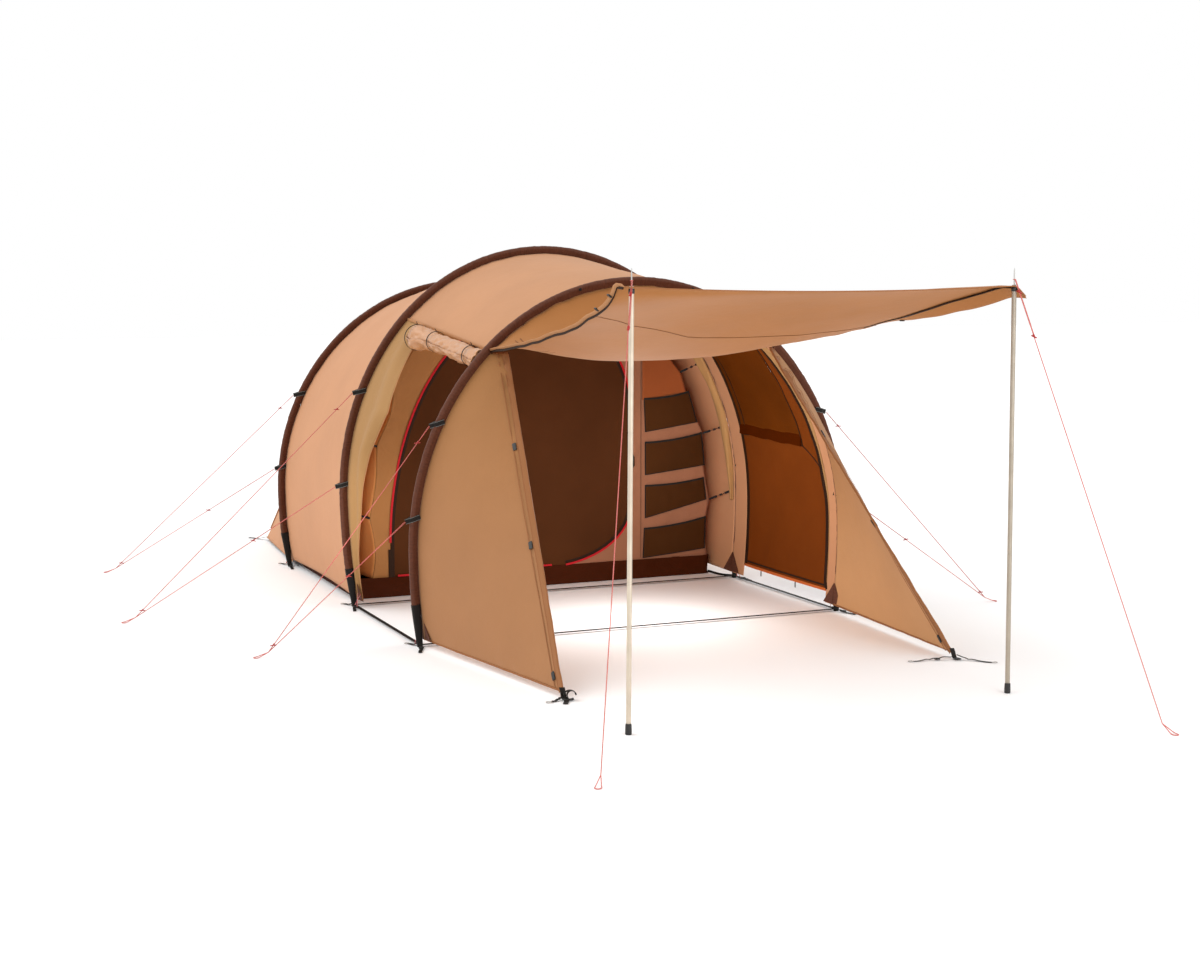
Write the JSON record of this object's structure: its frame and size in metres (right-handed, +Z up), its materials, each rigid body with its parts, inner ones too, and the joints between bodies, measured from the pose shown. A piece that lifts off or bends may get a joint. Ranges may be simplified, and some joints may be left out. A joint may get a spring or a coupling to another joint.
{
  "type": "camping tent",
  "caption": "Tunnel tent on hooped poles with a hung inner tent, an open rolled side door, front wings, a canopy raised on poles and taut guy lines.",
  "frame": {"origin": "on the ground, at the middle of the pitched tent's footprint with its guy lines", "axes": "+Z up, +X to the right of someone looking in at the front, +Y towards the sloping rear end; the raised canopy is at -Y"},
  "size_m": [4.883, 6.7312, 2],
  "materials": {
    "tan_fabric": "light tan woven polyester with a faint sheen",
    "brown_sleeve": "dark brown woven sleeve cloth",
    "black_webbing": "black woven webbing and reinforced pockets",
    "pole_alloy": "satin tube",
    "rubber": "matt black",
    "inner_fabric": "breathable tan and orange-brown cloth in shade",
    "terracotta_fabric": "salmon and terracotta cloth",
    "mesh": "fine dark brown insect mesh",
    "groundsheet": "coated dark brown sheet",
    "guy_cord": "braided red cord"
  },
  "bodies": {
    "root": {"front_arch_pole": "pole_alloy", "front_canopy": "tan_fabric", "front_cross_strap": "black_webbing", "front_left_foot": "black_webbing", "front_left_guy_lines": "guy_cord", "front_pole_sleeve": "brown_sleeve", "front_right_foot": "black_webbing", "front_right_guy_lines": "guy_cord", "front_roof": "tan_fabric", "groundsheet": "groundsheet", "inner_front_left_panel": "inner_fabric", "inner_front_right_panel": "terracotta_fabric", "inner_left_wall": "inner_fabric", "inner_mesh_door": "mesh", "inner_rear_wall": "inner_fabric", "inner_right_wall": "inner_fabric", "inner_roof": "inner_fabric", "left_base_strap": "black_webbing", "left_canopy_guy_line": "guy_cord", "left_canopy_pole": "pole_alloy", "left_door_roll": "tan_fabric", "left_front_strip": "tan_fabric", "left_inner_hanger": "black_webbing", "left_pole_foot": "rubber", "left_storm_flap": "tan_fabric", "left_wing": "tan_fabric", "middle_arch_pole": "pole_alloy", "middle_cross_strap": "black_webbing", "middle_left_foot": "black_webbing", "middle_left_guy_lines": "guy_cord", "middle_pole_sleeve": "brown_sleeve", "middle_right_foot": "black_webbing", "middle_right_guy_lines": "guy_cord", "rear_arch_pole": "pole_alloy", "rear_end": "tan_fabric", "rear_left_foot": "black_webbing", "rear_left_guy_lines": "guy_cord", "rear_pole_sleeve": "brown_sleeve", "rear_right_foot": "black_webbing", "rear_right_guy_lines": "guy_cord", "rear_section_left_wall": "tan_fabric", "rear_section_right_wall": "tan_fabric", "rear_section_roof": "tan_fabric", "right_base_strap": "black_webbing", "right_canopy_guy_line": "guy_cord", "right_canopy_pole": "pole_alloy", "right_door_window": "mesh", "right_front_strip": "tan_fabric", "right_inner_hanger": "black_webbing", "right_pole_foot": "rubber", "right_rear_strip": "tan_fabric", "right_side_door": "inner_fabric", "right_wing": "tan_fabric", "storage_pocket_1": "mesh", "storage_pocket_2": "mesh", "storage_pocket_3": "mesh", "storage_pocket_4": "mesh"}
  },
  "joints": []
}
